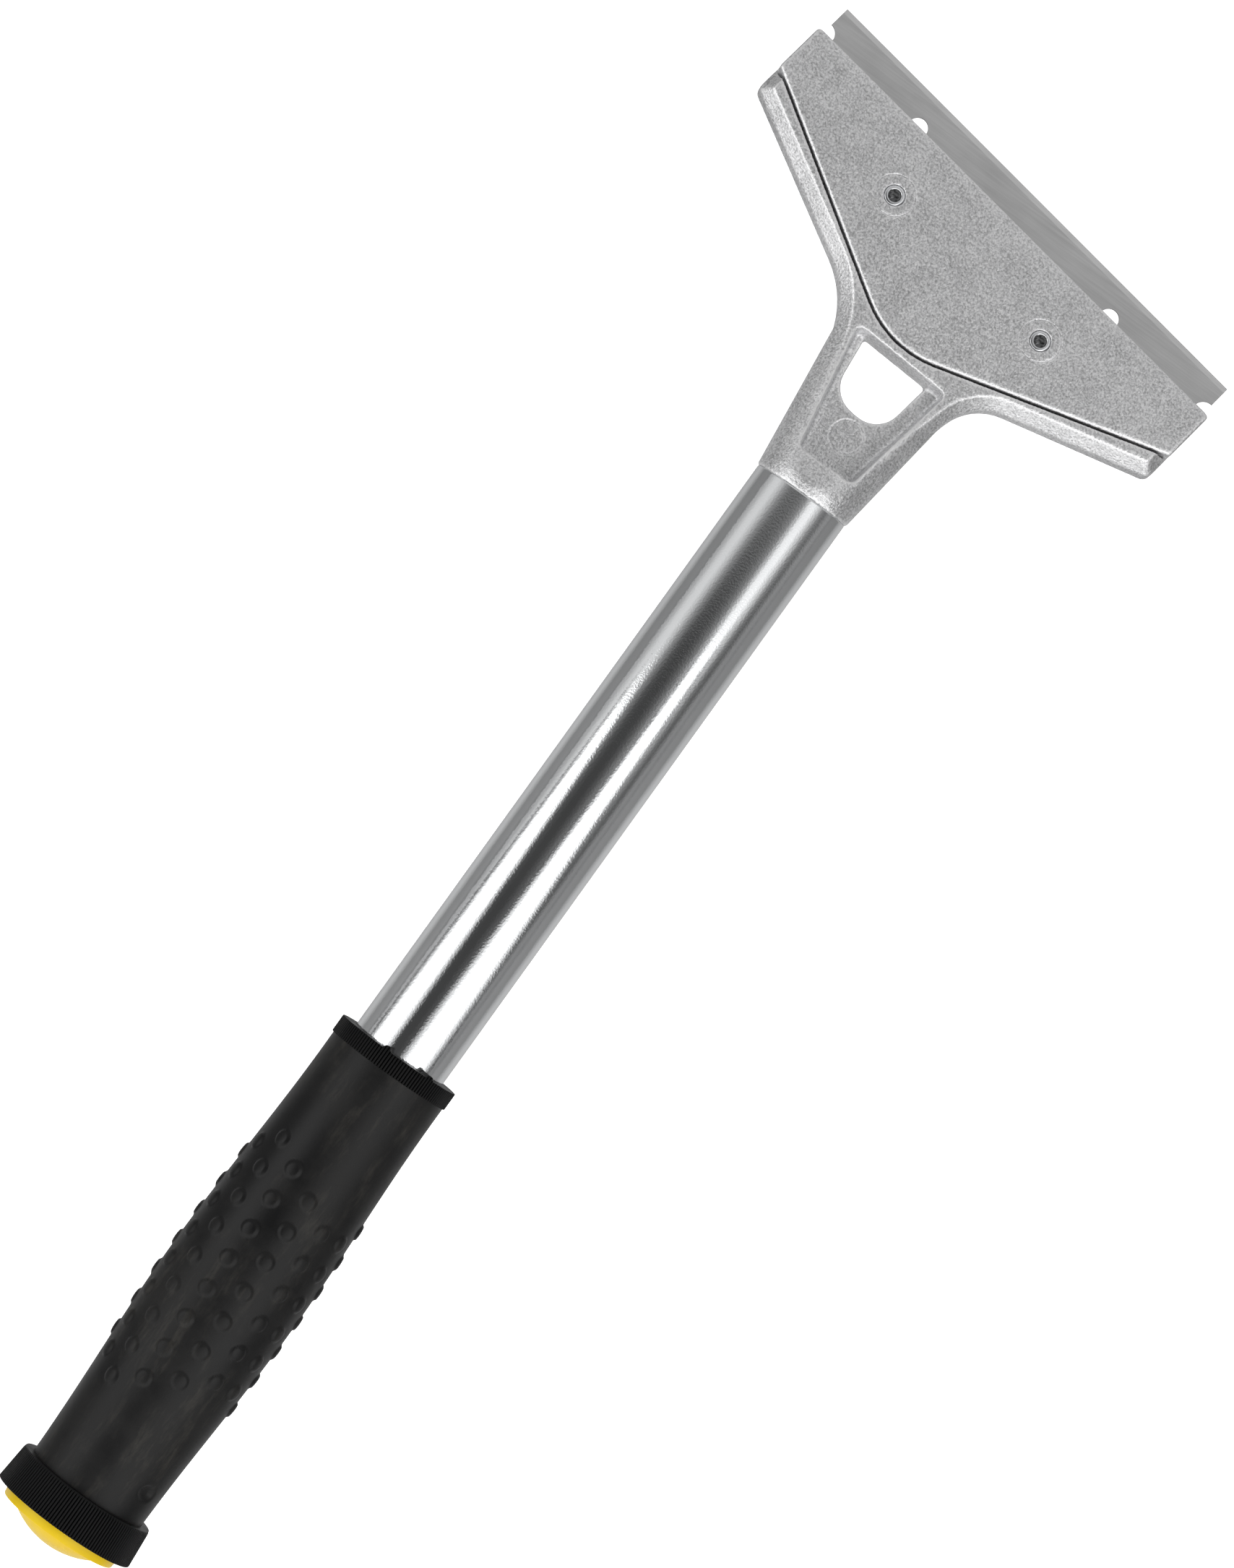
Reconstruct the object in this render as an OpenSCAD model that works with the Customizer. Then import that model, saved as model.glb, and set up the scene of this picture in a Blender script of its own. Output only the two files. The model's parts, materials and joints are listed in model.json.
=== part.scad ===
// Floor scraper: a die-cast head that clamps a double-edged blade, on a chromed
// steel tube with a rubber grip. Millimetres.
//
// Frame: the handle's axis lies along Y, with the head towards +Y. The origin is on
// that axis, where the tube meets the head's shoulder. +Z is the clamp plate's side.
// The head is drawn in a frame of its own, [x, -back, z]: x runs along the cutting
// edge, back is the distance behind it, and z = 0 is the seat that the blade lies on.
// head_pose() puts that frame on the handle.

/* [Blade] */
// Length of the cutting edge
blade_len = 100; // [96:1:101]
// Width of the blade between its two ground edges
blade_w = 13; // [12:0.5:14]
// Thickness of the blade
blade_t = 0.6; // [0.4:0.1:0.6]
// Distance of each blade hole from the blade's middle
blade_hole_x = 25.1; // [20:0.1:30]

/* [Head] */
// Half the width of the frame and of the clamp plate
head_half = 51.1; // [51:0.1:54]
// How far the frame and the plate stand behind the cutting edge
head_setback = 7; // [6.5:0.1:7.5]
// Height of the plate's straight ends, measured to behind the edge
plate_end_back = 17.7; // [17.2:0.1:18.2]
// Where the plate's two slanted edges would meet, behind the edge
plate_apex_back = 41; // [40.5:0.1:41.5]
// Radius that rounds that corner
plate_apex_r = 20; // [16:1:22]
// Thickness of the clamp plate
plate_t = 3.2; // [3:0.1:3.5]
// Thickness of the frame below the blade seat
web_t = 3.7; // [3.2:0.1:4]
// Gap between the plate's back edge and the frame's shoulder
plate_gap = 0.45; // [0.4:0.05:0.6]

/* [Clamp screws] */
// Distance of each screw from the head's middle
screw_x = 19.05; // [18:0.05:21]
// Distance of the screws behind the cutting edge
screw_back = 19.8; // [19:0.1:21]
// Nominal diameter of the screws
screw_d = 4; // [4:0.5:5]
// Length of each wing from the screw's axis to its tip
wing_reach = 13; // [10:0.5:15]

/* [Handle] */
// Angle between the handle and the square to the cutting edge
skew = 9.3; // [0:0.1:12]
// Angle at which the head bends down from the handle
bend = 10; // [5:0.5:12]
// Outer diameter of the tube
tube_d = 19.5; // [19:0.1:19.6]
// Wall thickness of the tube
tube_wall = 1; // [0.8:0.1:1.2]
// Bare length of tube between the head and the grip
tube_bare = 127; // [100:1:160]
// Length of the rubber grip
grip_len = 94.9; // [85:0.1:110]
// Diameter of the grip at its thickest
grip_d = 27.3; // [26:0.1:28]
// Length of the ring behind the grip
end_ring_len = 7.5; // [6:0.1:9]
// Height of the end cap's dome
dome_h = 3.3; // [2.5:0.1:4]

/* [Hidden] */
$fn = 64;

// Colours
alloy_colour = [0.68, 0.69, 0.70];
steel_colour = [0.60, 0.61, 0.62];
chrome_colour = [0.82, 0.83, 0.85];
black_colour = [0.10, 0.10, 0.10];
rubber_colour = [0.17, 0.17, 0.17];
yellow_colour = [0.98, 0.84, 0.12];

// How far a joined solid sinks into its neighbour, and how far a cut runs past a face
eps = 0.05;
past = 1;
// Gap where two parts rest on each other, fit tightly, or fit loosely
touch = 0.03;
slip = 0.02;
loose = 0.05;

// Head: heights above the blade seat
blade_stop_h = 0.5;
plate_low = blade_t + touch;
plate_top = plate_low + plate_t;
web_low = -web_t;
boss_h = 0.2;
pad_h = 0.8;
pad_r = 6.5;
pad_low = web_low - pad_h;
clear_of = 20;

// Head: where the tube's axis meets the shoulder, in the head's own frame
joint_x = 8.05;
joint_back = 71.3;
joint_z = -1.5;
shoulder_r = 10;

// Outline of the frame, [x, back, fillet radius]; the neck runs on inside the shoulder
arm_back = 23;
frame_corners = [[-head_half, head_setback, 1], [-head_half, arm_back, 1.6],
    [-12.2, 38.7, 19], [-6.4, 52, 1], [16.4, 52, 1], [18.3, 36.2, 10.5],
    [head_half, arm_back, 1.6], [head_half, head_setback, 1]];
// Steps of the frame's rounded edge, [z, how far the outline is drawn in]
frame_edge = [[web_low, 0.9], [web_low + 0.9, 0], [0.9, 0], [plate_top, 2.2]];
plate_corners = [[-head_half, head_setback, 0.8], [-head_half, plate_end_back, 0.6],
    [0, plate_apex_back, plate_apex_r], [head_half, plate_end_back, 0.6],
    [head_half, head_setback, 0.8]];
plate_edge = [[plate_low, 0], [plate_top - 0.4, 0], [plate_top, 0.4]];
plate_bevel_w = 1.7;
plate_bevel_h = 0.35;
boss_r = 4;
hole_bevel = 0.2;
// Pocket that the plate lies in: the plate's outline run on past both ends
pocket_out = 9;
plate_slope = (plate_apex_back - plate_end_back) / head_half;
pocket_end_back = plate_end_back - plate_slope * pocket_out;
pocket_corners = [[-head_half - pocket_out, 0, 0.5],
    [-head_half - pocket_out, pocket_end_back, 0.5], [0, plate_apex_back, plate_apex_r],
    [head_half + pocket_out, pocket_end_back, 0.5], [head_half + pocket_out, 0, 0.5]];
blade_seat_w = blade_w - head_setback + 2 * loose;
least_fillet = 0.5;

// Section inside the slab where the loft to the round shoulder starts, [x, z]
neck_start_back = 44;
neck_section = [[-9.8, -1.8], [-8.6, -3], [16.1, -3], [17.3, -1.8], [17.3, 0.5], [14.9, 3.1],
    [-7.4, 3.1], [-9.8, 0.5]];

// Recess in the neck, its floor and its mouth, [x, back, fillet radius]
recess_floor_z = 0.2;
recess_mouth_z = 9;
recess_floor = [[-6.3, 42.2, 0.8], [1.9, 66.1, 0.8], [12.5, 64.3, 0.8], [13.5, 40.1, 0.8]];
recess_draft = 0.12;
window_corners = [[-4.3, 41.7, 0.5], [-1.2, 53.9, 5.5], [10, 53.4, 5.5], [10.2, 40.1, 0.5]];
// Thickness of the slices that the neck and its recess are lofted between
slice_t = 0.5;
shoulder_t = 2.2;

// Blade
grind_w = 1.1;
edge_half = 0.03;
blade_hole_r = 1.9;
blade_notch_r = 2.2;

// Spigot, rivet and tube
tube_r = tube_d / 2;
tube_bore_r = tube_r - tube_wall;
spigot_len = 28;
rivet_back = 12;
rivet_r = 1.6;
rivet_len = 6.5;
rivet_head_r = 3.2;
rivet_head_h = 1.3;
rivet_head_draft = 1;

// Grip, measured along the handle from the shoulder
collar_len = 3.5;
collar_r = 12.7;
grip_start = tube_bare + collar_len;
grip_end = grip_start + grip_len;
tube_len = grip_end + end_ring_len;
grip_front_r = 12.35;
grip_rear_r = 12.15;
grip_peak = grip_start + 49.5;
grip_half = 47;
core_bore_r = tube_r + loose;
core_r = 11;
ring_front_r = 14.05;
ring_rear_r = 14.65;
cap_flange_r = 12.3;
cap_flange_t = 2;
dome_r = 9.85;
bush_len = 22;
bush_bore_r = 6.5;
cap_stem_len = 15;

// Studs, washers and wing screws
thread_r = screw_d / 2;
stud_r = thread_r - loose;
clear_r = thread_r + 0.25;
washer_r = 4.6;
washer_t = 1;
lock_r = 3.9;
lock_t = 1.2;
lock_slot = 0.9;
lock_slant = 12;
stud_recess = 0.1;
stud_bevel = 0.5;
hub_r = 5.2;
hub_h = 7;
hub_draft = 0.4;
wing_t = 2.6;
hub_top = pad_low - washer_t - lock_t - touch;
stud_low = hub_top - hub_h + 1;
// Outline of the two wings, [x, depth below the hub's face, fillet radius]
wing_corners = [[-hub_r, 1.5, 1], [-wing_reach, 4.5, 3], [0.8 - wing_reach, 13.5, 3],
    [-4, 7.2, 2], [4, 7.2, 2], [wing_reach - 0.8, 13.5, 3], [wing_reach, 4.5, 3],
    [hub_r, 1.5, 1]];

function unit(v) = v / norm(v);
function left_of(v) = [-v[1], v[0]];
function spot(c) = [c[0], -c[1]];

// Arc of n steps that rounds the corner p between its neighbours a and b
function corner_arc(a, p, b, r, n) =
    let (u = unit(a - p), w = unit(b - p), half = acos(u * w) / 2,
        centre = p + unit(u + w) * r / sin(half),
        start = p + u * r / tan(half) - centre,
        turn = sign(cross(start, p - centre)) * (180 - 2 * half))
    [for (i = [0:n]) let (t = turn * i / n)
        centre + [start[0] * cos(t) - start[1] * sin(t), start[0] * sin(t) + start[1] * cos(t)]];

// Outline of [x, back, radius] corners drawn in by an inset, with n steps to a fillet
function outline(corners, inset = 0, n = 8) =
    let (m = len(corners), p = [for (c = corners) spot(c)],
        along = [for (i = [0:m - 1]) unit(p[(i + 1) % m] - p[i])],
        moved = [for (i = [0:m - 1]) let (before = along[(i + m - 1) % m], after = along[i],
            square = left_of(before) + left_of(after))
            p[i] + square * inset / (1 + before * after)])
    [for (i = [0:m - 1]) let (bulges = cross(along[(i + m - 1) % m], along[i]) > 0,
        r = bulges ? max(corners[i][2] - inset, least_fillet) : corners[i][2] + inset)
        each corner_arc(moved[(i + m - 1) % m], moved[i], moved[(i + 1) % m], r, n)];

// Solid through outlines at the heights in steps, [z, inset], lowest first. It is drawn
// too tall and cut to height, so that its two broad faces are whole.
module stepped_slab(corners, steps) {
    last = steps[len(steps) - 1];
    low = steps[0][0];
    high = last[0];
    grown = concat([[low - past, steps[0][1]]], steps, [[high + past, last[1]]]);
    rings = [for (s = grown) outline(corners, s[1])];
    m = len(rings[0]);
    top = len(grown) - 1;
    points = [for (k = [0:top]) for (q = rings[k]) [q[0], q[1], grown[k][0]]];
    sides = [for (k = [0:top - 1]) for (i = [0:m - 1]) let (j = (i + 1) % m)
        each [[k * m + i, (k + 1) * m + i, k * m + j],
            [k * m + j, (k + 1) * m + i, (k + 1) * m + j]]];
    floor_face = [for (i = [0:m - 1]) i];
    roof_face = [for (i = [m - 1:-1:0]) top * m + i];
    intersection() {
        polyhedron(points, concat([floor_face, roof_face], sides), convexity = 6);
        translate([-head_half - past, -joint_back, low])
            cube([2 * (head_half + past), joint_back, high - low]);
    }
}

// Places the head's own frame on the handle
module head_pose() {
    rotate([0, 0, -skew]) rotate([-bend, 0, 0])
        translate([-joint_x, joint_back, -joint_z]) children();
}

// Cylinder along the handle from one distance behind the shoulder to another
module along_handle(from, to, r, r_end = -1) {
    translate([0, -from, 0]) rotate([90, 0, 0])
        cylinder(h = to - from, r1 = r, r2 = r_end < 0 ? r : r_end);
}

// Cylinder across the head at a screw, between two heights
module at_screw(side, low, high, r, r_high = -1) {
    translate([side * screw_x, -screw_back, low])
        cylinder(h = high - low, r1 = r, r2 = r_high < 0 ? r : r_high);
}

module neck_loft() {
    hull() {
        head_pose() translate([0, -neck_start_back, 0]) rotate([90, 0, 0])
            linear_extrude(slice_t) polygon(neck_section);
        along_handle(-shoulder_t, 0, shoulder_r);
    }
}

module neck_recess() {
    hull() {
        translate([0, 0, recess_floor_z])
            linear_extrude(slice_t) polygon(outline(recess_floor, 0, 4));
        translate([0, 0, recess_mouth_z]) linear_extrude(slice_t)
            polygon(outline(recess_floor, -recess_draft * recess_mouth_z, 4));
    }
}

module head_frame() {
    color(alloy_colour) difference() {
        union() {
            head_pose() {
                stepped_slab(frame_corners, frame_edge);
                for (side = [-1, 1]) {
                    at_screw(side, pad_low, web_low + eps, pad_r);
                }
            }
            neck_loft();
            along_handle(-eps, spigot_len, tube_bore_r - slip);
        }
        head_pose() {
            translate([0, 0, blade_stop_h]) linear_extrude(clear_of)
                polygon(outline(pocket_corners, -plate_gap));
            translate([-head_half - pocket_out, -head_setback - blade_seat_w, 0])
                cube([2 * (head_half + pocket_out), blade_seat_w, clear_of]);
            for (side = [-1, 1]) {
                at_screw(side, pad_low - past, plate_low, clear_r);
            }
            neck_recess();
            translate([0, 0, -clear_of]) linear_extrude(2 * clear_of)
                polygon(outline(window_corners));
        }
        rivet_hole();
    }
}

module clamp_plate() {
    bevel_angle = atan(plate_bevel_h / plate_bevel_w);
    boss_top = plate_top + boss_h;
    color(alloy_colour) head_pose() difference() {
        union() {
            stepped_slab(plate_corners, plate_edge);
            for (side = [-1, 1]) {
                at_screw(side, plate_top - eps, boss_top, boss_r, boss_r - boss_h);
            }
        }
        translate([-head_half - past, -head_setback - plate_bevel_w, plate_top])
            rotate([-bevel_angle, 0, 0])
            cube([2 * (head_half + past), 2 * plate_bevel_w, past]);
        for (side = [-1, 1]) {
            at_screw(side, plate_low - past, boss_top + past, thread_r);
            at_screw(side, boss_top - hole_bevel, boss_top + eps, thread_r, thread_r + hole_bevel);
        }
    }
}

// The blade's section across its width, with both long edges ground to a bevel
module blade() {
    mid_z = (blade_t + touch) / 2;
    section = [[0, -edge_half], [0, edge_half], [-grind_w, blade_t / 2],
        [grind_w - blade_w, blade_t / 2], [-blade_w, edge_half], [-blade_w, -edge_half],
        [grind_w - blade_w, -blade_t / 2], [-grind_w, -blade_t / 2]];
    color(steel_colour) head_pose() difference() {
        translate([-blade_len / 2, 0, mid_z])
            rotate([90, 0, 90]) linear_extrude(blade_len) polygon(section);
        for (side = [-1, 1]) {
            translate([side * blade_hole_x, -blade_w / 2, mid_z])
                cylinder(h = 2 * past, r = blade_hole_r, center = true);
            translate([side * blade_len / 2, -blade_w / 2, mid_z])
                cylinder(h = 2 * past, r = blade_notch_r, center = true);
        }
    }
}

module screw_stud(side) {
    tip = plate_top + boss_h - stud_recess;
    color(steel_colour) head_pose() {
        at_screw(side, stud_low, tip - stud_bevel, stud_r);
        at_screw(side, tip - stud_bevel, tip, stud_r, stud_r - stud_bevel);
    }
}

module screw_wing(side) {
    color(black_colour) head_pose() difference() {
        union() {
            at_screw(side, hub_top - hub_h, hub_top, hub_r - hub_draft, hub_r);
            translate([side * screw_x, wing_t / 2 - screw_back, hub_top])
                rotate([90, 0, 0]) linear_extrude(wing_t) polygon(outline(wing_corners));
        }
        at_screw(side, stud_low, hub_top + past, stud_r + slip);
    }
}

module flat_washer(side) {
    color(steel_colour) head_pose() difference() {
        at_screw(side, pad_low - washer_t, pad_low, washer_r);
        at_screw(side, pad_low - washer_t - past, pad_low + past, clear_r);
    }
}

module spring_washer(side) {
    high = pad_low - washer_t;
    color(steel_colour) head_pose() difference() {
        at_screw(side, high - lock_t, high, lock_r);
        at_screw(side, high - lock_t - past, high + past, clear_r);
        translate([side * screw_x, -screw_back, high - lock_t - past])
            rotate([0, lock_slant, 0]) translate([-lock_slot / 2, 0, 0])
            cube([lock_slot, washer_r, lock_t + 2 * past]);
    }
}

module rivet_hole() {
    translate([0, -rivet_back, -tube_r - past])
        cylinder(h = past + rivet_len + touch, r = rivet_r + slip);
}

module handle_tube() {
    color(chrome_colour) difference() {
        along_handle(0, tube_len, tube_r);
        along_handle(-past, tube_len + past, tube_bore_r);
        rivet_hole();
    }
}

module spigot_rivet() {
    color(steel_colour) translate([0, -rivet_back, -tube_r]) {
        cylinder(h = rivet_len, r = rivet_r);
        translate([0, 0, -rivet_head_h])
            cylinder(h = rivet_head_h, r1 = rivet_head_r - rivet_head_draft, r2 = rivet_head_r);
    }
}

module front_collar() {
    color(black_colour) difference() {
        along_handle(tube_bare, grip_start, collar_r);
        along_handle(tube_bare - past, grip_start + past, core_bore_r);
    }
}

module grip_core() {
    color(black_colour) difference() {
        along_handle(grip_start, grip_end, core_r);
        along_handle(grip_start - past, grip_end + past, core_bore_r);
    }
}

// Radius of the grip at a distance behind the shoulder: a straight taper with a swell
function grip_r(s) =
    let (t = (s - grip_start) / grip_len, plain = grip_front_r + (grip_rear_r - grip_front_r) * t,
        away = min(abs(s - grip_peak) / grip_half, 1))
    plain + (grip_d / 2 - plain) * pow(cos(90 * away), 2);

module grip_sleeve() {
    steps = 26;
    skin = [for (i = [0:steps]) let (s = grip_start + grip_len * i / steps) [grip_r(s), s]];
    color(rubber_colour) rotate([90, 0, 0]) rotate_extrude()
        polygon(concat([[core_r + slip, grip_start]], skin, [[core_r + slip, grip_end]]));
}

module end_ring() {
    color(black_colour) difference() {
        along_handle(grip_end, tube_len, ring_front_r, ring_rear_r);
        along_handle(grip_end - past, tube_len + past, core_bore_r);
    }
}

module tail_bush() {
    color(black_colour) difference() {
        along_handle(tube_len - bush_len, tube_len, tube_bore_r - loose);
        along_handle(tube_len - bush_len - past, tube_len + past, bush_bore_r);
    }
}

module end_cap() {
    sphere_r = (dome_r * dome_r + dome_h * dome_h) / (2 * dome_h);
    dome_turn = asin(dome_r / sphere_r);
    steps = 12;
    dome = [for (i = [0:steps]) let (a = dome_turn * (1 - i / steps))
        [sphere_r * sin(a), cap_flange_t + dome_h - sphere_r * (1 - cos(a))]];
    color(yellow_colour) rotate([90, 0, 0]) translate([0, 0, tube_len]) rotate_extrude()
        polygon(concat([[0, -cap_stem_len], [bush_bore_r - slip, -cap_stem_len],
            [bush_bore_r - slip, 0], [cap_flange_r, 0], [cap_flange_r, cap_flange_t]], dome));
}

head_frame();
clamp_plate();
blade();
screw_stud(-1);  // screw_stud_left
screw_stud(1);  // screw_stud_right
screw_wing(-1);  // screw_wing_left
screw_wing(1);  // screw_wing_right
flat_washer(-1);  // flat_washer_left
flat_washer(1);  // flat_washer_right
spring_washer(-1);  // spring_washer_left
spring_washer(1);  // spring_washer_right
handle_tube();
spigot_rivet();
front_collar();
grip_core();
grip_sleeve();
end_ring();
tail_bush();
end_cap();
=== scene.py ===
"""Looks of the floor scraper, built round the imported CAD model.

Everything is in metres, in the CAD's frame: the handle's axis is Y with the head towards
+Y, and the clamp plate's side is +Z. A place along the handle is its distance s behind
the head's shoulder, and an angle round it starts at +Z and goes towards +X. The head also
has axes of its own, HEAD: the cutting edge, straight ahead of it, and square to the plate.
"""

import json
import math

import bmesh
import bpy
from mathutils import Matrix, Vector, noise


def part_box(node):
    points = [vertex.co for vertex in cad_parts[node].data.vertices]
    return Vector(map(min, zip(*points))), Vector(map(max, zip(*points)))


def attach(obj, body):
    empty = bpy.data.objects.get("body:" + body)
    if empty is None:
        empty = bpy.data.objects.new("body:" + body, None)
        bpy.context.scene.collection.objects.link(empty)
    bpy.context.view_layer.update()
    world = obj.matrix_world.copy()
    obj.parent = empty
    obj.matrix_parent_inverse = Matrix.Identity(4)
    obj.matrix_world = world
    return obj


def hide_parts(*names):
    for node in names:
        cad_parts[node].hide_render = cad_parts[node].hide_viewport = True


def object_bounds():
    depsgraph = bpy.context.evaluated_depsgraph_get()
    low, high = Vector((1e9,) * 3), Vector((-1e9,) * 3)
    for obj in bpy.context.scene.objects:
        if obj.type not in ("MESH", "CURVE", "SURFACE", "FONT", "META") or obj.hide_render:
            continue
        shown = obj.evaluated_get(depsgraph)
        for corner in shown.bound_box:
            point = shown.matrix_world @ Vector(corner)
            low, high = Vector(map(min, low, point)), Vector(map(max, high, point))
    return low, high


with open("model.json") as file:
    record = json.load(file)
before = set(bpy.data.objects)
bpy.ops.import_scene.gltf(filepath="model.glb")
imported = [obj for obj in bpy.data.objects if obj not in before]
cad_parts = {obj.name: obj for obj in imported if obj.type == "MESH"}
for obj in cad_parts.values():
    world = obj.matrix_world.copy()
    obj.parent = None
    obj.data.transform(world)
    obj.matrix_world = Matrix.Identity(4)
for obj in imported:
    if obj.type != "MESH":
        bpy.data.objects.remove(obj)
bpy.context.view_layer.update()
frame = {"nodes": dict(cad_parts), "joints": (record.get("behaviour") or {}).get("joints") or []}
MM = 0.001


# ---------------------------------------------------------------- places from the frame
joints = {j["name"]: j for j in frame["joints"]}
PLATE_UP = Vector(joints["plate_lift"]["axis"]).normalized()
AHEAD = Vector(joints["blade_slide"]["axis"]).normalized()
EDGE = AHEAD.cross(PLATE_UP).normalized()
SCREWS = {side: Vector(joints[f"screw_{side}_turn"]["pos_m"]) for side in ("left", "right")}
SCREW_BACK = 19.8 * MM
HEAD = Matrix((EDGE, AHEAD, PLATE_UP)).transposed().to_4x4()
HEAD.translation = (SCREWS["left"] + SCREWS["right"]) / 2 + AHEAD * SCREW_BACK


def along(node):
    """The distances behind the shoulder between which a node lies, and its radius."""
    low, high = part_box(node)
    return -high.y, -low.y, (high.x - low.x) / 2


TUBE_FROM, TUBE_TO, TUBE_R = along("handle_tube")
COLLAR_FROM, COLLAR_TO, COLLAR_R = along("front_collar")
GRIP_FROM, GRIP_TO, GRIP_R = along("grip_sleeve")
RING_FROM, RING_TO, RING_R = along("end_ring")
CAP_TO = along("end_cap")[1]
CORE_R = along("grip_core")[2]


# ---------------------------------------------------------------- mesh helpers
def make_piece(name, mesh, material, body, slot, *nodes):
    """Shows a mesh as a piece that rides on a body in place of CAD nodes."""
    mesh.name = name
    mesh.materials.clear()
    mesh.materials.append(material)
    piece = bpy.data.objects.new(name, mesh)
    bpy.context.scene.collection.objects.link(piece)
    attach(piece, body)
    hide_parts(*nodes)
    return piece


def finish_mesh(work, crease):
    """Turns a bmesh into a smooth mesh with outward normals, sharp above crease degrees."""
    bmesh.ops.remove_doubles(work, verts=work.verts, dist=1e-7)
    bmesh.ops.recalc_face_normals(work, faces=work.faces)
    mesh = bpy.data.meshes.new("made")
    work.to_mesh(mesh)
    work.free()
    mesh.polygons.foreach_set("use_smooth", [True] * len(mesh.polygons))
    mesh.set_sharp_from_angle(angle=math.radians(crease))
    return mesh


def rounded(corners, steps=4):
    """A closed profile of (s, r, fillet) corners with each fillet drawn as an arc."""
    points = []
    count = len(corners)
    for i, (s, r, fillet) in enumerate(corners):
        here = Vector((s, r))
        if not fillet:
            points.append((s, r))
            continue
        before = (Vector(corners[i - 1][:2]) - here).normalized()
        after = (Vector(corners[(i + 1) % count][:2]) - here).normalized()
        half = before.angle(after) / 2
        centre = here + (before + after).normalized() * fillet / math.sin(half)
        start = here + before * fillet / math.tan(half) - centre
        turn = math.pi - 2 * half
        if before.x * after.y - before.y * after.x > 0:
            turn = -turn
        for k in range(steps + 1):
            c, t = math.cos(turn * k / steps), math.sin(turn * k / steps)
            points.append((centre.x + start.x * c - start.y * t,
                           centre.y + start.x * t + start.y * c))
    return points


def revolve(profile, segments, shape=None, loop=True, crease=40):
    """A mesh turned round the handle's axis from a profile of (s, r) points.

    shape(s, r, angle) may change the radius. A profile that isn't a loop starts and ends
    on the axis.
    """
    work = bmesh.new()
    rings = []
    for s, r in profile:
        ring = []
        for i in range(segments):
            a = 2 * math.pi * i / segments
            here = shape(s, r, a) if shape else r
            ring.append(work.verts.new((here * math.sin(a), -s, here * math.cos(a))))
        rings.append(ring)
    pairs = list(zip(rings, rings[1:] + rings[:1]))
    for low, high in pairs if loop else pairs[:-1]:
        for i in range(segments):
            j = (i + 1) % segments
            work.faces.new((low[i], low[j], high[j], high[i]))
    return finish_mesh(work, crease)


def soften(node, voxel, passes, axes=HEAD, finer=None, sculpt=None):
    """A copy of a CAD node's mesh with its edges rounded as casting or moulding does.

    It is remeshed square to the given axes, so that flat faces stay flat, and smoothed.
    Where finer(point) holds the mesh is cut three times as fine, and sculpt(point) may move
    a vertex. Both are given points in those axes.
    """
    mesh = frame["nodes"][node].data.copy()
    mesh.transform(axes.inverted())
    work = bmesh.new()
    work.from_mesh(mesh)
    bmesh.ops.remove_doubles(work, verts=work.verts, dist=1e-6)
    work.to_mesh(mesh)
    work.free()
    source = bpy.data.objects.new("source", mesh)
    bpy.context.scene.collection.objects.link(source)
    remesh = source.modifiers.new("remesh", "REMESH")
    remesh.mode = "VOXEL"
    remesh.voxel_size = voxel
    smooth = source.modifiers.new("smooth", "SMOOTH")
    smooth.factor = 0.5
    smooth.iterations = passes
    graph = bpy.context.evaluated_depsgraph_get()
    made = bpy.data.meshes.new_from_object(source.evaluated_get(graph))
    bpy.data.objects.remove(source)
    bpy.data.meshes.remove(mesh)
    if finer:
        work = bmesh.new()
        work.from_mesh(made)
        edges = [e for e in work.edges if finer(e.verts[0].co) and finer(e.verts[1].co)]
        bmesh.ops.subdivide_edges(work, edges=edges, cuts=2, use_grid_fill=True)
        work.to_mesh(made)
        work.free()
    if sculpt:
        for v in made.vertices:
            v.co = sculpt(v.co)
    made.transform(axes)
    made.polygons.foreach_set("use_smooth", [True] * len(made.polygons))
    return made


def smooth_step(low, high, value):
    t = min(max((value - low) / (high - low), 0), 1)
    return t * t * (3 - 2 * t)


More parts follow.
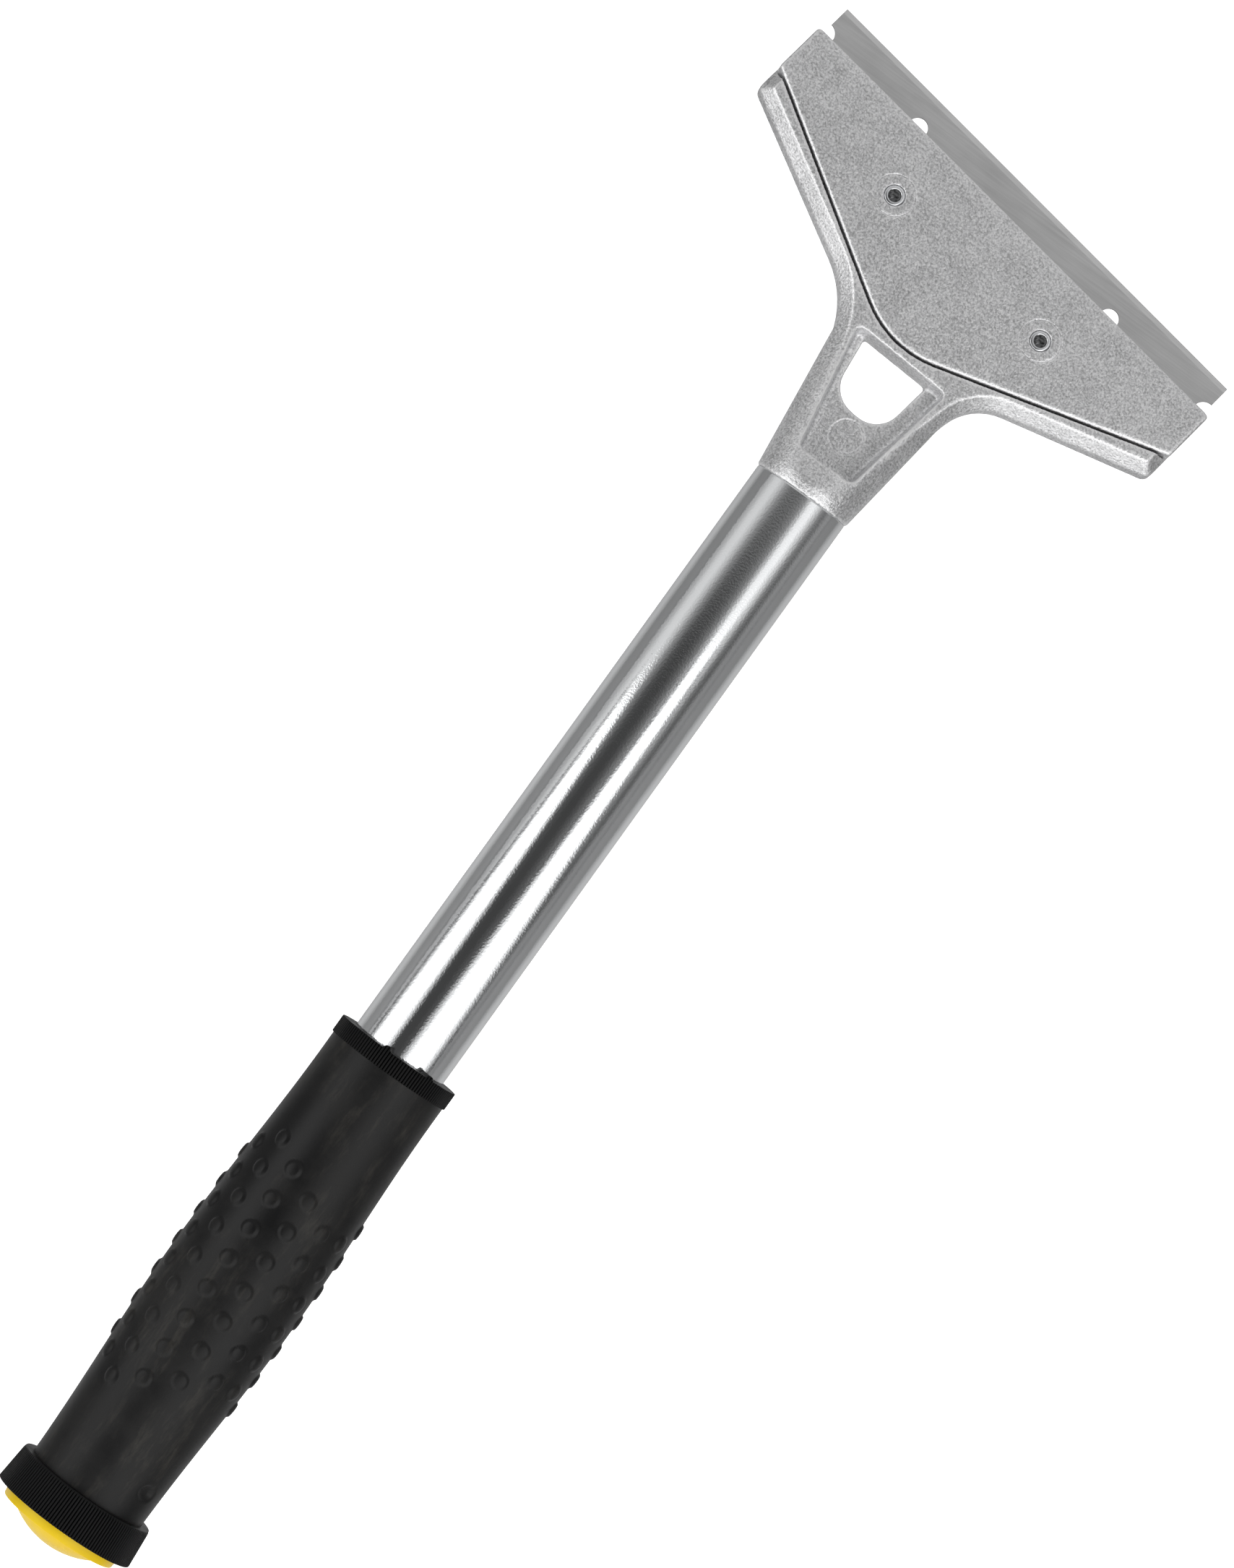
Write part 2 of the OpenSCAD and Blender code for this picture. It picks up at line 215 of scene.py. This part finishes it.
# ---------------------------------------------------------------- materials
class Graph:
    """Short ways to add and join the nodes of one tree."""

    def __init__(self, tree):
        self.tree = tree

    def add(self, kind, sockets=(), **settings):
        node = self.tree.nodes.new("ShaderNode" + kind)
        for key, value in settings.items():
            setattr(node, key, value)
        for key, value in dict(sockets).items():
            self.put(node.inputs[key], value)
        return node

    def put(self, socket, value):
        if isinstance(value, bpy.types.NodeSocket):
            self.tree.links.new(value, socket)
        else:
            socket.default_value = value

    def math(self, operation, *values):
        node = self.add("Math", operation=operation)
        for socket, value in zip(node.inputs, values):
            self.put(socket, value)
        return node.outputs[0]

    def object_place(self, stretch=None):
        place = self.add("TexCoord").outputs["Object"]
        if stretch:
            place = self.add("Mapping", {"Vector": place, "Scale": stretch}).outputs[0]
        return place

    def noise(self, place, scale, detail=2.0, roughness=0.5):
        return self.add("TexNoise", {"Vector": place, "Scale": scale, "Detail": detail,
                                     "Roughness": roughness}).outputs["Fac"]

    def remap(self, value, low, high, to_low, to_high):
        return self.add("MapRange", {"Value": value, "From Min": low, "From Max": high,
                                     "To Min": to_low, "To Max": to_high}).outputs[0]

    def ramp(self, value, stops, interpolation="LINEAR"):
        node = self.add("ValToRGB", {"Fac": value})
        ramp = node.color_ramp
        ramp.interpolation = interpolation
        while len(ramp.elements) < len(stops):
            ramp.elements.new(1.0)
        for element, (place, colour) in zip(ramp.elements, stops):
            element.position = place
            element.color = grey(colour) if isinstance(colour, float) else (*colour, 1)
        return node.outputs["Color"]

    def mix(self, share, a, b, blend="MIX"):
        node = self.add("Mix", data_type="RGBA", blend_type=blend)
        self.put(node.inputs[0], share)
        self.put(node.inputs[6], grey(a) if isinstance(a, float) else a)
        self.put(node.inputs[7], grey(b) if isinstance(b, float) else b)
        return node.outputs[2]

    def bump(self, height, strength, distance, normal=None):
        sockets = {"Height": height, "Strength": strength, "Distance": distance}
        if normal:
            sockets["Normal"] = normal
        return self.add("Bump", sockets).outputs[0]


def grey(level):
    return (level, level, level, 1)


def new_material(name, **sockets):
    """A material, its Principled shader with constant sockets set, and its graph."""
    material = bpy.data.materials.new(name)
    material.use_nodes = True
    shader = material.node_tree.nodes["Principled BSDF"]
    for key, value in sockets.items():
        shader.inputs[key.replace("_", " ")].default_value = value
    return material, shader, Graph(material.node_tree)


def make_cast_alloy():
    material, shader, g = new_material("cast_alloy", Metallic=1.0)
    place = g.object_place()
    grain = g.noise(place, 2300, 2, 0.6)
    # The pits' noise both dents the surface and paints bright glints into the colour
    pits_and_glints = g.noise(place, 4200, 1)
    cloud = g.noise(place, 170, 4, 0.6)
    # Painted highlight: convex edges, found by pointiness, are made lighter in the colour
    highlight_pointiness = g.add("NewGeometry").outputs["Pointiness"]
    tone = g.math("ADD", g.remap(cloud, 0.35, 0.65, -0.05, 0.05),
                  g.remap(grain, 0.3, 0.7, -0.26, 0.26))
    # The colour's level gets the painted edge highlight and painted glints in the bright specks
    edge = g.math("ADD", g.remap(highlight_pointiness, 0.503, 0.545, 0.0, 0.34),
                  g.remap(pits_and_glints, 0.60, 0.72, 0.0, 0.25))
    level = g.math("ADD", g.math("ADD", tone, 0.77), edge)
    colour = g.add("CombineColor", {"Red": level, "Green": level,
                                    "Blue": g.math("MULTIPLY", level, 1.01)})
    g.put(shader.inputs["Base Color"], colour.outputs[0])
    g.put(shader.inputs["Roughness"], g.remap(grain, 0.3, 0.7, 0.36, 0.52))
    coarse = g.bump(grain, 0.8, 0.00016)
    g.put(shader.inputs["Normal"], g.bump(pits_and_glints, 0.5, 0.00008, coarse))
    return material


def make_blade_steel():
    material, shader, g = new_material("blade_steel", Metallic=1.0)
    streaks = g.noise(g.object_place((60, 2600, 2600)), 1.0, 3)
    cloud = g.noise(g.object_place(), 90, 3)
    level = g.math("ADD", g.remap(streaks, 0.3, 0.7, 0.70, 0.78),
                   g.remap(cloud, 0.35, 0.65, -0.03, 0.03))
    colour = g.add("CombineColor", {"Red": level, "Green": level, "Blue": level})
    g.put(shader.inputs["Base Color"], colour.outputs[0])
    g.put(shader.inputs["Roughness"], g.remap(streaks, 0.3, 0.7, 0.30, 0.42))
    g.put(shader.inputs["Normal"], g.bump(streaks, 0.15, 0.00003))
    return material


# 1 on a stud's cropped end, which gets painted shade for the dark it reflects, -1 on the chamfer
# round it, which is spared the painted hollow shade and so stays bright
END_SHADE_MARK = "end_shade_mark"


def make_zinc_steel():
    material, shader, g = new_material("zinc_steel", Metallic=1.0)
    place = g.object_place()
    cloud = g.noise(place, 700, 3)
    # Painted shade: hollows, found by pointiness, are darkened in the colour
    hollow_shade = g.remap(g.add("NewGeometry").outputs["Pointiness"], 0.44, 0.53, 0.25, 1.0)
    tone = g.ramp(cloud, ((0.35, (0.78, 0.79, 0.81)), (0.65, (0.92, 0.93, 0.95))))
    end_shade_mark = g.add("Attribute", attribute_name=END_SHADE_MARK).outputs["Fac"]
    # The chamfer is spared the painted hollow shade, and the cropped end is darkened as painted
    # shade for the dark it reflects
    turned = g.math("MAXIMUM", hollow_shade, g.math("MULTIPLY", end_shade_mark, -1.0))
    cropped = g.math("MULTIPLY_ADD", g.math("MAXIMUM", end_shade_mark, 0.0), -0.75, 1.0)
    shade = g.math("MULTIPLY", turned, cropped)
    g.put(shader.inputs["Base Color"], g.mix(1.0, tone, shade, "MULTIPLY"))
    g.put(shader.inputs["Roughness"], g.remap(cloud, 0.3, 0.7, 0.18, 0.34))
    g.put(shader.inputs["Normal"], g.bump(g.noise(place, 4000, 2), 0.2, 0.00003))
    return material


def make_chromed_tube():
    material, shader, g = new_material("chromed_tube", Metallic=1.0)
    place = g.object_place()
    orange_peel = g.noise(place, 2600, 2)
    cloud = g.noise(place, 60, 3)
    g.put(shader.inputs["Base Color"],
          g.ramp(cloud, ((0.3, (0.78, 0.79, 0.80)), (0.7, (0.82, 0.83, 0.84)))))
    g.put(shader.inputs["Roughness"], g.remap(cloud, 0.3, 0.7, 0.05, 0.08))
    g.put(shader.inputs["Normal"], g.bump(orange_peel, 1.0, 0.000016))
    return material


def make_grip_rubber():
    material, shader, g = new_material("grip_rubber", Specular_IOR_Level=0.24)
    place = g.object_place()
    dust = g.noise(place, 75, 5, 0.6)
    scuffs = g.noise(g.object_place((420, 90, 420)), 1.0, 6, 0.7)
    fine = g.noise(place, 2400, 2)
    rubbed = g.math("MULTIPLY", g.remap(scuffs, 0.50, 0.72, 0.0, 1.0),
                    g.remap(dust, 0.42, 0.62, 0.0, 1.0))
    plain = g.ramp(dust, ((0.36, (0.0050, 0.0050, 0.0052)), (0.66, (0.0125, 0.0122, 0.0118))))
    g.put(shader.inputs["Base Color"], g.mix(rubbed, plain, (0.040, 0.037, 0.032, 1)))
    g.put(shader.inputs["Roughness"], g.remap(dust, 0.35, 0.65, 0.36, 0.50))
    g.put(shader.inputs["Normal"], g.bump(fine, 0.3, 0.00005))
    return material


def make_black_plastic():
    material, shader, g = new_material("black_plastic", Specular_IOR_Level=0.16)
    place = g.object_place()
    cloud = g.noise(place, 240, 3)
    g.put(shader.inputs["Base Color"],
          g.ramp(cloud, ((0.35, (0.0022, 0.0022, 0.0023)), (0.65, (0.0040, 0.0040, 0.0041)))))
    g.put(shader.inputs["Roughness"], g.remap(cloud, 0.3, 0.7, 0.34, 0.46))
    g.put(shader.inputs["Normal"], g.bump(g.noise(place, 3000, 2), 0.15, 0.00003))
    return material


def make_yellow_plastic():
    material, shader, g = new_material("yellow_plastic", Specular_IOR_Level=0.32)
    place = g.object_place()
    cloud = g.noise(place, 120, 3)
    g.put(shader.inputs["Base Color"],
          g.ramp(cloud, ((0.35, (0.90, 0.60, 0.004)), (0.65, (0.93, 0.65, 0.006)))))
    g.put(shader.inputs["Roughness"], g.remap(cloud, 0.3, 0.7, 0.26, 0.36))
    g.put(shader.inputs["Normal"], g.bump(g.noise(place, 900, 2), 0.08, 0.00005))
    return material


alloy = make_cast_alloy()
blade_steel = make_blade_steel()
zinc = make_zinc_steel()
chrome = make_chromed_tube()
rubber = make_grip_rubber()
black = make_black_plastic()
yellow = make_yellow_plastic()


def repaint(node, material):
    """Gives a CAD node that stays in view a better material."""
    o = frame["nodes"][node]
    o.data.materials.clear()
    o.data.materials.append(material)


# ---------------------------------------------------------------- cast head
# Places and heights here are in HEAD's axes
FRAME_VOXEL = 0.375 * MM
PLATE_VOXEL = 0.28 * MM
# The ejector pin's ring in the recess's floor, and the groove that draws it
MARK_AT = Vector((6.3, -57.8)) * MM
MARK_R = 3.2 * MM
MARK_GROOVE = (0.16 * MM, 0.3 * MM)
RECESS_FLOOR = 0.2 * MM
# How far ahead of the shoulder the neck starts to fall to the tube, and by how much it falls
NECK_REACH, NECK_FALL = 4.5 * MM, 0.45 * MM
# The plate's bosses, the groove round their blade side, and the fall of the face ahead of them
SCREW_X = (SCREWS["right"] - SCREWS["left"]).length / 2
BOSS_R = 4.0 * MM
BOSS_H = 0.2 * MM
BOSS_EDGE = 0.15 * MM
BOSS_GROOVE = (0.12 * MM, 0.25 * MM)
TAPER = 0.04
UPPER_FACE = 3 * MM


def groove(away, depth, half):
    """How deep a round-bottomed groove is at a distance from its middle."""
    return depth * (1 - smooth_step(0, half, abs(away)))


def mark_distance(p):
    """How far a point is from the ejector pin's ring."""
    return (p.xy - MARK_AT).length - MARK_R


def near_mark(p):
    return abs(mark_distance(p)) < 0.7 * MM and abs(p.z - RECESS_FLOOR) < MM


def sculpt_frame(p):
    """Presses an ejector pin's ring into the recess and lets the neck fall to the tube."""
    if abs(p.z - RECESS_FLOOR) < 0.6 * MM:
        p.z -= groove(mark_distance(p), *MARK_GROOVE)
    ahead = (HEAD @ p).y
    if ahead < NECK_REACH and p.z > MM:
        share = (1 - max(ahead, 0) / NECK_REACH) ** 2
        p.z -= NECK_FALL * share * smooth_step(MM, UPPER_FACE, p.z)
    return p


def boss_distance(p):
    """How far a point is from the nearer screw's axis."""
    return min((p.xy - Vector((side * SCREW_X, -SCREW_BACK))).length for side in (-1, 1))


def near_boss(p):
    return p.z > UPPER_FACE and 1.6 * MM < boss_distance(p) < BOSS_R + 0.8 * MM


def sculpt_plate(p):
    """Slopes the plate's face from the screws down to the blade, round the level bosses."""
    away = boss_distance(p)
    share = smooth_step(1.2 * MM, 2.6 * MM, p.z) * smooth_step(BOSS_R, BOSS_R + BOSS_EDGE, away)
    ahead = max(p.y + SCREW_BACK, 0)
    p.z += share * (BOSS_H - TAPER * ahead)
    if p.z > UPPER_FACE:
        blade_side = smooth_step(-0.3 * MM, 2.7 * MM, ahead)
        p.z -= groove(away - BOSS_R, *BOSS_GROOVE) * blade_side
    return p


def make_head():
    make_piece("head_casting",
               soften("head_frame", FRAME_VOXEL, 2, finer=near_mark, sculpt=sculpt_frame),
               alloy, "frame", "cast_alloy", "head_frame")
    make_piece("plate_casting",
               soften("clamp_plate", PLATE_VOXEL, 1, finer=near_boss, sculpt=sculpt_plate),
               alloy, "clamp_plate", "cast_alloy", "clamp_plate")
    repaint("blade", blade_steel)


# ---------------------------------------------------------------- handle
def make_tube():
    wall = 1 * MM
    profile = rounded([(TUBE_FROM, TUBE_R, 0.3 * MM), (TUBE_TO, TUBE_R, 0.3 * MM),
                       (TUBE_TO, TUBE_R - wall, 0.2 * MM), (TUBE_FROM, TUBE_R - wall, 0.2 * MM)])
    make_piece("chromed_tube", revolve(profile, 192), chrome, "frame", "chromed_tube",
               "handle_tube")


def ribs(count, depth, floor_r):
    """Shape of a ring's outer face with rounded ribs along the handle."""
    def shape(s, r, angle):
        if r < floor_r:
            return r
        return r - depth * (1 - abs(math.cos(count * angle / 2))) ** 1.4
    return shape


COLLAR_RIBS = 127
# Nubs of flash on the collar's front: (angle, height)
COLLAR_NUBS = ((math.radians(-11), 0.75 * MM), (math.radians(35), 0.6 * MM))
RING_RIBS = 144
RIB_SAMPLES = 8
RIB_DEPTH = 0.34 * MM


def add_nubs(mesh):
    """Raises the nubs on the collar's front edge."""
    for v in mesh.vertices:
        if -v.co.y < COLLAR_FROM + 0.2 * MM:
            for at, height in COLLAR_NUBS:
                away = abs(math.atan2(v.co.x, v.co.z) - at) * COLLAR_R
                v.co.y += height * (1 - smooth_step(0.3 * MM, 1.1 * MM, away))
    return mesh


def make_rings():
    bore = TUBE_R + 0.05 * MM
    collar = rounded([(COLLAR_FROM, bore, 0.1 * MM), (COLLAR_FROM, COLLAR_R, 0.15 * MM),
                      (COLLAR_TO, COLLAR_R, 0.12 * MM), (COLLAR_TO, bore, 0.1 * MM)])
    make_piece("ribbed_collar",
               add_nubs(revolve(collar, COLLAR_RIBS * RIB_SAMPLES,
                                ribs(COLLAR_RIBS, RIB_DEPTH, COLLAR_R - 0.3 * MM))),
               black, "frame", "black_plastic", "front_collar")
    front_r = RING_R - 0.6 * MM
    ring = rounded([(RING_FROM, bore, 0.1 * MM), (RING_FROM, front_r - 0.2 * MM, 0.12 * MM),
                    (RING_FROM + 0.6 * MM, front_r, 0.3 * MM), (RING_TO, RING_R, 0.12 * MM),
                    (RING_TO, bore, 0.1 * MM)])
    make_piece("ribbed_end_ring",
               revolve(ring, RING_RIBS * RIB_SAMPLES,
                       ribs(RING_RIBS, RIB_DEPTH, front_r - 0.05 * MM)),
               black, "frame", "black_plastic", "end_ring")


# The grip's ends, its swell, and its bumps in columns round it with so many bumps in each
GRIP_FRONT_R = 12.35 * MM
GRIP_REAR_R = 12.15 * MM
GRIP_PEAK = GRIP_FROM + 49.5 * MM
GRIP_HALF = 47 * MM
BUMP_COUNTS = (9, 8, 7, 6, 6, 7, 8) * 2
BUMP_START = math.radians(-41.2)
BUMP_PITCH = 6.69 * MM
BUMP_CENTRE = COLLAR_FROM + 51.1 * MM
BUMP_R = 1.65 * MM
BUMP_H = 0.5 * MM
# The dimple's place (s, angle) and half its size along and round the handle
DIMPLE_AT = (219 * MM, math.radians(51))
DIMPLE_SIZE = (1.7 * MM, 2.1 * MM)
DIMPLE_DEPTH = 0.8 * MM


def grip_radius(s):
    """A straight taper with a swell."""
    plain = GRIP_FRONT_R + (GRIP_REAR_R - GRIP_FRONT_R) * (s - GRIP_FROM) / (GRIP_TO - GRIP_FROM)
    away = min(abs(s - GRIP_PEAK) / GRIP_HALF, 1)
    return plain + (GRIP_R - plain) * math.cos(math.pi / 2 * away) ** 2


def grip_relief(s, angle):
    """How far the grip's skin stands out at a place: round bumps in columns, and a dimple."""
    step = 2 * math.pi / len(BUMP_COUNTS)
    column = round((angle - BUMP_START) / step)
    count = BUMP_COUNTS[column % len(BUMP_COUNTS)]
    across = (angle - BUMP_START - column * step) * GRIP_R
    row = (s - BUMP_CENTRE) / BUMP_PITCH + (count - 1) / 2
    nearest = min(max(round(row), 0), count - 1)
    away = math.hypot(across, (row - nearest) * BUMP_PITCH) / BUMP_R
    out = 0
    if away < 1.15:
        dome = math.sqrt(max(1 - (away * 0.8) ** 2, 0))
        out = BUMP_H * dome * (1 - smooth_step(0.82, 1.08, away))
    turn = (angle - DIMPLE_AT[1] + math.pi) % (2 * math.pi) - math.pi
    pit = math.hypot((s - DIMPLE_AT[0]) / DIMPLE_SIZE[0], turn * GRIP_REAR_R / DIMPLE_SIZE[1])
    return out - DIMPLE_DEPTH * (1 - smooth_step(0.3, 1.2, pit))


def make_grip():
    spacing = 0.34 * MM
    steps = round((GRIP_TO - GRIP_FROM) / spacing)
    skin = [GRIP_FROM + (GRIP_TO - GRIP_FROM) * i / steps for i in range(steps + 1)]
    profile = [(GRIP_FROM, CORE_R)] + [(s, grip_radius(s)) for s in skin] + [(GRIP_TO, CORE_R)]

    def relief(s, r, angle):
        return r + grip_relief(s, angle) if r > CORE_R + 0.1 * MM else r

    segments = round(2 * math.pi * GRIP_R / spacing)
    make_piece("rubber_grip", revolve(profile, segments, relief, crease=60),
               rubber, "frame", "grip_rubber", "grip_sleeve")


def make_cap():
    flange_r, flange_t, dome_r = 12.3 * MM, 2.0 * MM, 9.85 * MM
    dome_h = CAP_TO - TUBE_TO - flange_t
    stem_r, stem_len = 6.48 * MM, 15 * MM
    sphere = (dome_r**2 + dome_h**2) / (2 * dome_h)
    half = math.asin(dome_r / sphere)
    body = rounded([(TUBE_TO - stem_len, 0, 0), (TUBE_TO - stem_len, stem_r, 0.5 * MM),
                    (TUBE_TO, stem_r, 0), (TUBE_TO, flange_r, 0.1 * MM),
                    (TUBE_TO + flange_t, flange_r - 0.25 * MM, 0.15 * MM),
                    (TUBE_TO + flange_t, dome_r + 0.01 * MM, 0)])
    base = TUBE_TO + flange_t - sphere * math.cos(half)
    steps = 16
    falls = [half * (1 - k / steps) for k in range(steps + 1)]
    dome = [(base + sphere * math.cos(a), sphere * math.sin(a)) for a in falls]
    make_piece("domed_cap", revolve(body + dome, 160, loop=False, crease=30),
               yellow, "frame", "yellow_plastic", "end_cap")


# ---------------------------------------------------------------- screws
THREAD_R = 1.97 * MM
THREAD_DEPTH = 0.36 * MM
PITCH = 0.7 * MM
# A stud's tip: the plain length, the chamfer's height and the radius it rises to, and how
# deep the cropped core lies in it and how rough it is
TIP_PLAIN = 0.4 * MM
CHAMFER_H = 0.22 * MM
CORE_END_R = 1.38 * MM
CROP_DEPTH = 0.16 * MM
CROP_ROUGH = (0.12 * MM, 1900)


def thread(s, r, angle):
    """Shape of a screw thread cut into a stud's shank."""
    if r < THREAD_R:
        return r
    turn = (s / PITCH - angle / (2 * math.pi)) % 1
    return r - THREAD_DEPTH * smooth_step(0.12, 0.42, min(turn, 1 - turn))


def stud_profile(low, tip):
    steps = 12 * round((tip - low) / PITCH)
    shank = [(low + (tip - TIP_PLAIN - low) * i / steps, THREAD_R) for i in range(steps + 1)]
    across = THREAD_R - 0.03 * MM - CORE_END_R
    turns = [math.pi / 2 * k / 6 for k in range(7)]
    chamfer = [(tip - CHAMFER_H * (1 - math.sin(a)), CORE_END_R + across * math.cos(a))
               for a in turns]
    core = [(tip - CROP_DEPTH, CORE_END_R * (1 - k / 9)) for k in range(1, 10)]
    return [(low, 0), (low, THREAD_R - 0.5 * MM), *shank, *chamfer,
            (tip - 0.05 * MM, CORE_END_R - 0.06 * MM), *core]


def make_stud(side):
    """A threaded stud, its end chamfered and cropped rough, lathed along the screw's axis."""
    node = f"screw_stud_{side}"
    heights = [(HEAD.inverted() @ v.co).z for v in frame["nodes"][node].data.vertices]
    low, tip = min(heights), max(heights)
    mesh = revolve(stud_profile(low, tip), 96, thread, loop=False, crease=50)
    end_shade_mark = mesh.attributes.new(END_SHADE_MARK, "FLOAT", "POINT")
    rough, grain = CROP_ROUGH
    # The cropped end is made rough and marked for its painted shade; the rim round it is marked
    # to stay free of the painted hollow shade
    for v in mesh.vertices:
        if -v.co.y > tip - 0.2 * MM and math.hypot(v.co.x, v.co.z) < CORE_END_R - 0.1 * MM:
            v.co.y -= rough * noise.noise(v.co * grain)
            end_shade_mark.data[v.index].value = 1
        elif -v.co.y > tip - 0.25 * MM:
            end_shade_mark.data[v.index].value = -1
    axes = Matrix((EDGE, -PLATE_UP, AHEAD)).transposed().to_4x4()
    axes.translation = SCREWS[side]
    mesh.transform(axes)
    make_piece(f"stud_{side}", mesh, zinc, f"screw_{side}", "zinc_steel", node)


def make_screws():
    for side in ("left", "right"):
        body = f"screw_{side}"
        make_piece(f"wing_{side}", soften(f"screw_wing_{side}", 0.25 * MM, 3),
                   black, body, "black_plastic", f"screw_wing_{side}")
        make_stud(side)
        repaint(f"flat_washer_{side}", zinc)
        repaint(f"spring_washer_{side}", zinc)
    repaint("spigot_rivet", zinc)
    repaint("grip_core", black)
    repaint("tail_bush", black)


make_head()
make_tube()
make_rings()
make_grip()
make_cap()
make_screws()


# ---------------------------------------------------------------- camera, floor and lights
PHOTO_TURN = math.radians(35.73)
CAMERA_AT = Vector((0.00346, -0.06306, 1.25))
CAMERA_LENS = 155.6
FLOOR_GAP = 0.002
# The floor glows where it is seen, to be as white as what is behind it. For what it lights
# and shows in, it is pale up to BRIGHT_FLOOR from the handle's axis and grey beyond.
FLOOR_GLOW = 0.9
BRIGHT_FLOOR = 0.035

# What the tube reflects: the angle from straight up towards +X, and the brightness there
STREAKS = ((-180, 1.1), (-113, 0.45), (-97, 0.45), (-84, 0.46), (-72, 0.75), (-60, 0.8),
           (-50, 0.58), (-40, 0.26), (-28, 0.09), (-18, 0.06), (-6, 0.06), (4, 0.10), (14, 0.2),
           (21, 0.5), (28, 1.1), (40, 1.2), (50, 0.7), (60, 0.22), (70, 0.11), (82, 0.28),
           (98, 0.22), (180, 1.1))
# The brightness behind the tail and ahead of the head
TAIL_LIGHT = 1.3
HEAD_LIGHT = 0.55
# Cards of light beside the handle, fading out at both sides: (y, first angle, last angle)
# along each
CARD_AWAY = 0.45
CARD_GLOW = 1.9
CARD_FADE = (0, 0.35, 0.8, 1, 1, 1, 0.8, 0.35, 0)
CARDS = (((0.035, 22, 48), (-0.05, 14, 59), (-0.14, 2, 80), (-0.36, -4, 92)),
         ((0.0, -65, -40), (-0.05, -71, -30), (-0.14, -82, -22), (-0.36, -92, -14)))


def make_camera():
    data = bpy.data.cameras.new("camera")
    data.lens = CAMERA_LENS
    data.sensor_width = 36
    data.clip_end = 20
    camera = bpy.data.objects.new("camera", data)
    camera.location = CAMERA_AT
    camera.rotation_euler = (0, 0, PHOTO_TURN)
    bpy.context.scene.collection.objects.link(camera)
    bpy.context.scene.camera = camera


def make_floor():
    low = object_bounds()[0].z - FLOOR_GAP
    mesh = bpy.data.meshes.new("floor")
    half = 15
    mesh.from_pydata([(-half, -half, low), (half, -half, low), (half, half, low),
                      (-half, half, low)], [], [(0, 1, 2, 3)])
    material, shader, g = new_material("floor_white", Roughness=0.9)
    seen = g.add("LightPath").outputs["Is Camera Ray"]
    x = g.add("SeparateXYZ", {"Vector": g.add("NewGeometry").outputs["Position"]}).outputs["X"]
    beside = g.remap(g.math("ABSOLUTE", x), BRIGHT_FLOOR, 2 * BRIGHT_FLOOR, 0.75, 0.3)
    g.put(shader.inputs["Base Color"], g.mix(seen, beside, 0.9))
    shader.inputs["Emission Color"].default_value = grey(1.0)
    g.put(shader.inputs["Emission Strength"], g.math("MULTIPLY", seen, FLOOR_GLOW))
    mesh.materials.append(material)
    floor = bpy.data.objects.new("floor", mesh)
    bpy.context.scene.collection.objects.link(floor)


def make_cards():
    material = bpy.data.materials.new("card_light")
    material.use_nodes = True
    g = Graph(material.node_tree)
    fade = g.add("Attribute", attribute_name="fade").outputs["Fac"]
    glow = g.add("Emission", {"Color": grey(1.0),
                              "Strength": g.math("MULTIPLY", fade, CARD_GLOW)})
    g.put(material.node_tree.nodes["Material Output"].inputs["Surface"], glow.outputs[0])
    count = len(CARD_FADE)
    for k, rows in enumerate(CARDS):
        points = []
        for y, first, last in rows:
            for i in range(count):
                a = math.radians(first + (last - first) * i / (count - 1))
                points.append((CARD_AWAY * math.sin(a), y, CARD_AWAY * math.cos(a)))
        corners = [r * count + i for r in range(len(rows) - 1) for i in range(count - 1)]
        faces = [(c, c + 1, c + count + 1, c + count) for c in corners]
        mesh = bpy.data.meshes.new(f"card_{k}")
        mesh.from_pydata(points, [], faces)
        mesh.attributes.new("fade", "FLOAT", "POINT").data.foreach_set(
            "value", CARD_FADE * len(rows))
        mesh.materials.append(material)
        card = bpy.data.objects.new(f"card_{k}", mesh)
        card.visible_camera = False
        bpy.context.scene.collection.objects.link(card)


def make_world():
    world = bpy.data.worlds.new("studio")
    world.use_nodes = True
    g = Graph(world.node_tree)
    way = g.add("SeparateXYZ", {"Vector": g.add("TexCoord").outputs["Generated"]}).outputs
    turn = g.math("ARCTAN2", way["X"], way["Z"])
    share = g.math("MULTIPLY_ADD", turn, 1 / (2 * math.pi), 0.5)
    streaks = g.ramp(share, [(0.5 + a / 360, float(b)) for a, b in STREAKS])
    tail = g.remap(way["Y"], -0.2, -0.65, 0.0, 1.0)
    head = g.remap(way["Y"], 0.15, 0.6, 0.0, 1.0)
    light = g.mix(head, g.mix(tail, streaks, TAIL_LIGHT), HEAD_LIGHT)
    seen = g.add("LightPath").outputs["Is Camera Ray"]
    background = world.node_tree.nodes["Background"]
    g.put(background.inputs["Color"], g.mix(seen, light, 1.0))
    background.inputs["Strength"].default_value = 1.0
    bpy.context.scene.world = world


make_camera()
make_floor()
make_cards()
make_world()
bpy.context.scene.view_settings.view_transform = "Standard"
